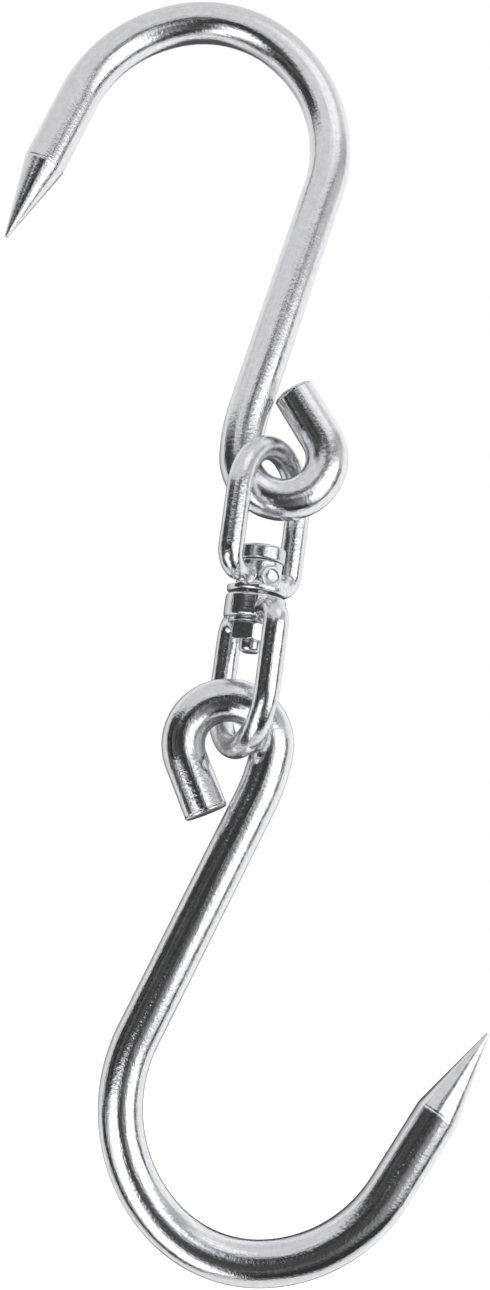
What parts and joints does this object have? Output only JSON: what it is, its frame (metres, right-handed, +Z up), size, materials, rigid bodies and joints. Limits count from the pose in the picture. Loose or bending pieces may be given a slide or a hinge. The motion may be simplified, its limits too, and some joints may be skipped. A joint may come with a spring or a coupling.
{
  "type": "swivel meat hook",
  "caption": "Double-ended meat hook: ground-pointed hooks bent from round bar, joined eye to eye by a bolted swivel link and hung from a rail by the upper hook.",
  "frame": {"origin": "load seat of the upper hook: the point inside its crown that rests on the rail", "axes": "+Z up along the hanging hook, +X towards the back of the upper hook in the plane both hooks are bent in, +Y across the bars"},
  "size_m": [0.0876, 0.0232, 0.2362],
  "materials": {
    "hook_steel": "polished stainless bar",
    "frame_steel": "polished cast or forged stainless",
    "fastener_steel": "bright turned stainless"
  },
  "bodies": {
    "upper_hook": {"upper_hook": "hook_steel"},
    "upper_link": {"upper_frame": "frame_steel"},
    "lower_link": {"lower_frame": "frame_steel", "swivel_pin": "fastener_steel", "washer": "fastener_steel", "nut": "fastener_steel"},
    "lower_hook": {"lower_hook": "hook_steel"}
  },
  "joints": [
    {"name": "upper_eye", "type": "hinge", "parent": "upper_hook", "child": "upper_link", "pos_m": [0.01515, 0, -0.08304], "axis": [0, 1, 0], "range_deg": [-90, 60]},
    {"name": "swivel", "type": "hinge", "parent": "upper_link", "child": "lower_link", "pos_m": [0.0101, -0.0018, -0.10935], "axis": [0.1305, 0, 0.9914], "continuous": true},
    {"name": "lower_eye", "type": "hinge", "parent": "lower_link", "child": "lower_hook", "pos_m": [0.00496, 0, -0.13602], "axis": [0, 1, 0], "range_deg": [-60, 75]}
  ]
}
